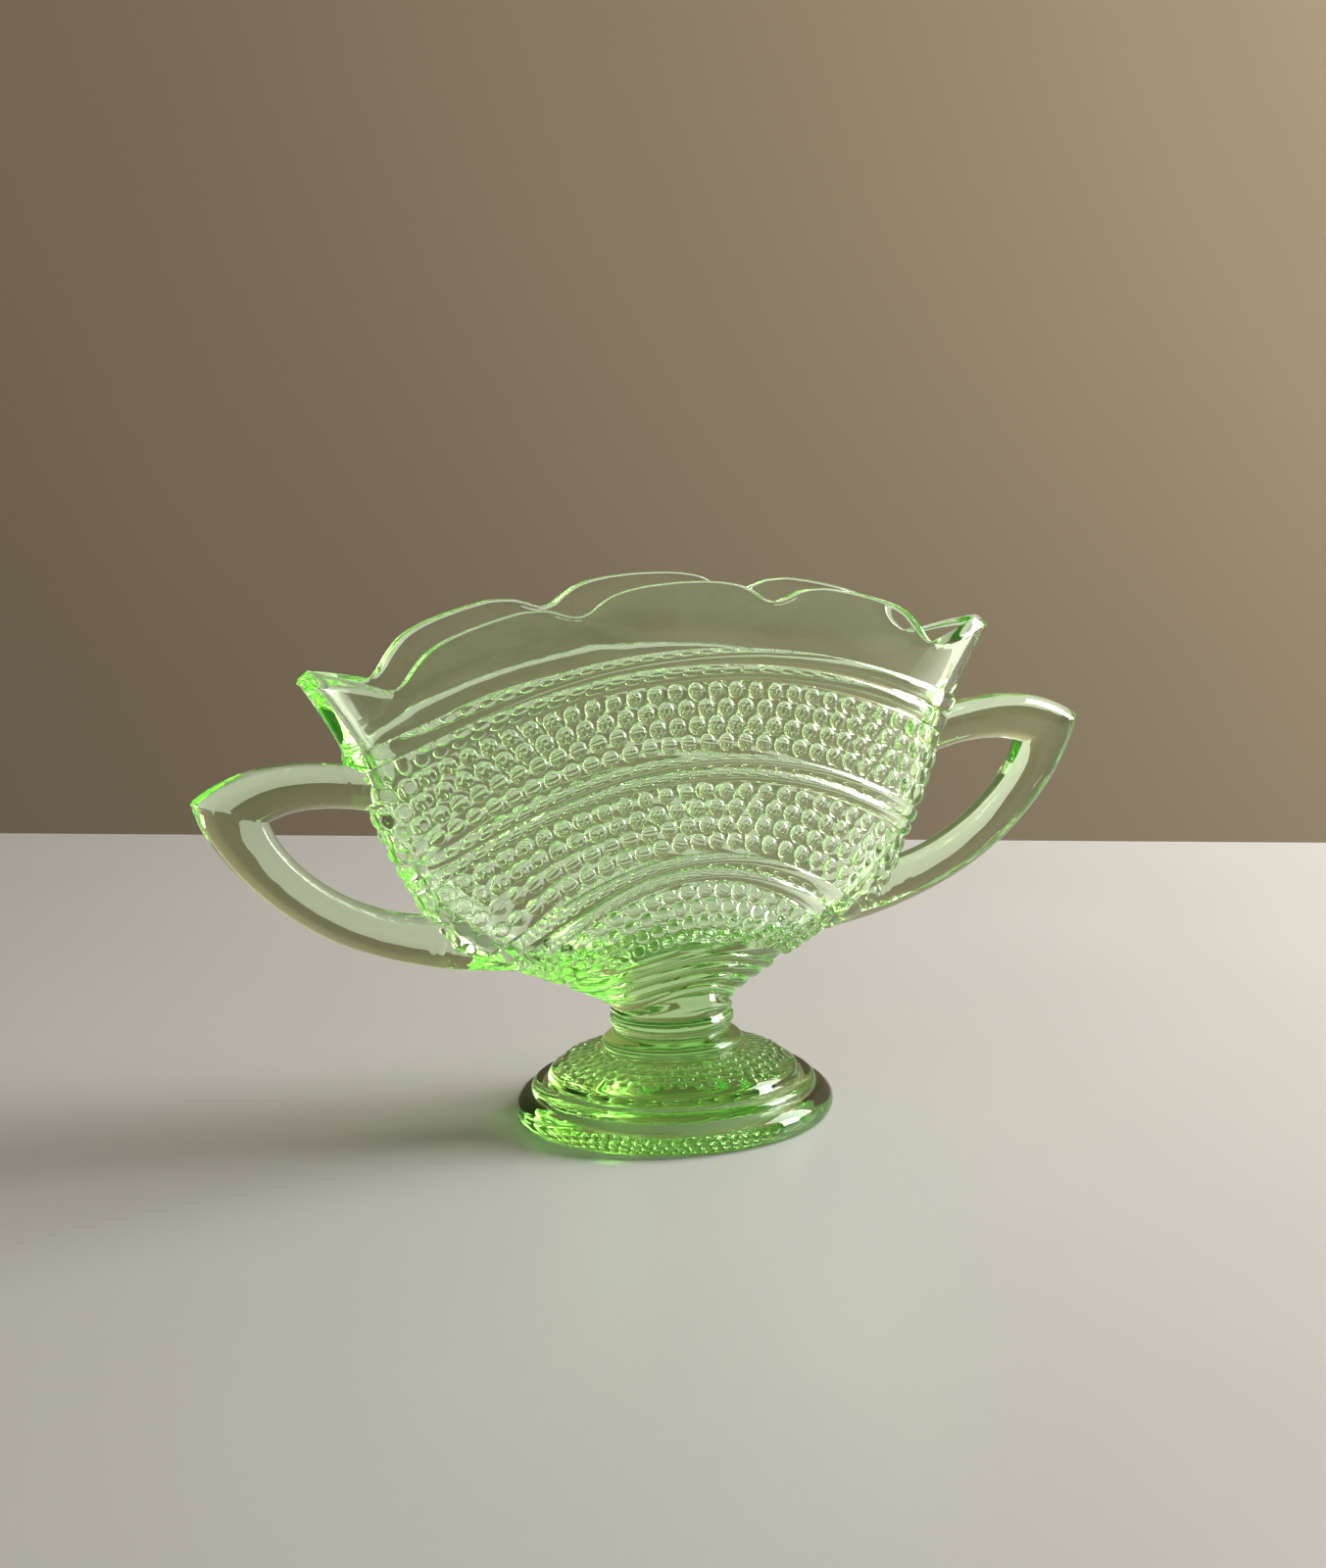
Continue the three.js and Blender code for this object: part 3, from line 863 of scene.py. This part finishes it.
def build_stage():
    """The table top and the wall behind it."""
    wide = TABLE_HALF_WIDTH
    staged(
        "table_top",
        [(-wide, TABLE_FRONT, 0), (wide, TABLE_FRONT, 0), (wide, TABLE_BACK, 0), (-wide, TABLE_BACK, 0)],
        painted_material("table", TABLE_COLOURS, TABLE_ROUGHNESS, TABLE_GRAIN),
    )
    wide = WALL_HALF_WIDTH
    staged(
        "back_wall",
        [
            (-wide, WALL_BACK, WALL_LOW), (wide, WALL_BACK, WALL_LOW),
            (wide, WALL_BACK, WALL_HIGH), (-wide, WALL_BACK, WALL_HIGH),
        ],
        painted_material("wall", WALL_COLOURS, WALL_ROUGHNESS, WALL_GRAIN),
    )


def window(name, place, aim, size, energy, colour):
    """A soft rectangular light, as a window gives."""
    light = bpy.data.lights.new(name, "AREA")
    light.shape, light.size, light.size_y = "RECTANGLE", size[0], size[1]
    light.energy, light.color = energy, colour
    made = bpy.data.objects.new(name, light)
    made.location = place
    made.rotation_euler = (Vector(aim) - Vector(place)).to_track_quat("-Z", "Y").to_euler()
    bpy.context.scene.collection.objects.link(made)


def build_light():
    """The windows, and the room's own dim light from all round."""
    for lamp in LAMPS:
        window(*lamp)
    world = bpy.data.worlds.new("room")
    bpy.context.scene.world = world
    world.use_nodes = True
    background = world.node_tree.nodes["Background"]
    background.inputs["Color"].default_value = ROOM_COLOUR
    background.inputs["Strength"].default_value = ROOM_STRENGTH


def build_camera():
    """The camera, placed round the aim point by its angles and then shifted square to its line."""
    azimuth, elevation, roll = map(math.radians, (CAMERA_AZIMUTH, CAMERA_ELEVATION, CAMERA_ROLL))
    level_reach = math.cos(elevation)
    back = Vector((math.sin(azimuth) * level_reach, -math.cos(azimuth) * level_reach, math.sin(elevation)))
    level_right = (-back).cross(Vector((0, 0, 1))).normalized()
    level_up = level_right.cross(-back)
    right = math.cos(roll) * level_right + math.sin(roll) * level_up
    up = -math.sin(roll) * level_right + math.cos(roll) * level_up
    place = Vector((0, 0, AIM_HEIGHT)) + CAMERA_DISTANCE * back + CAMERA_RIGHT * right + CAMERA_UP * up
    data = bpy.data.cameras.new("camera")
    data.lens, data.sensor_width, data.sensor_fit = LENS, SENSOR, "AUTO"
    data.clip_start, data.clip_end = CLIP_NEAR * MM, CLIP_FAR * MM
    camera = bpy.data.objects.new("camera", data)
    axes = Matrix((right, up, back)).transposed().to_4x4()
    camera.matrix_world = Matrix.Translation(place * MM) @ axes
    bpy.context.scene.collection.objects.link(camera)
    bpy.context.scene.camera = camera


def set_looks():
    """Plain colour handling, and enough bounces for light to cross all the walls and beads of the glass."""
    bpy.context.scene.view_settings.view_transform = "Standard"
    cycles = bpy.context.scene.cycles
    cycles.max_bounces = GLASS_BOUNCES
    cycles.transmission_bounces = GLASS_BOUNCES
    cycles.glossy_bounces = GLASS_BOUNCES
    cycles.transparent_max_bounces = GLASS_BOUNCES


def build_glass():
    """Each piece of glass, riding on the root in place of the CAD solid of its name."""
    glass = glass_material()
    for node, mesh in glass_pieces().items():
        shade(mesh)
        mesh.materials.clear()
        mesh.materials.append(glass)
        piece = bpy.data.objects.new(node + "_glass", mesh)
        bpy.context.scene.collection.objects.link(piece)
        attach(piece, "root")
        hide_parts(node)


def main():
    build_camera()
    build_stage()
    build_light()
    build_glass()
    set_looks()


main()
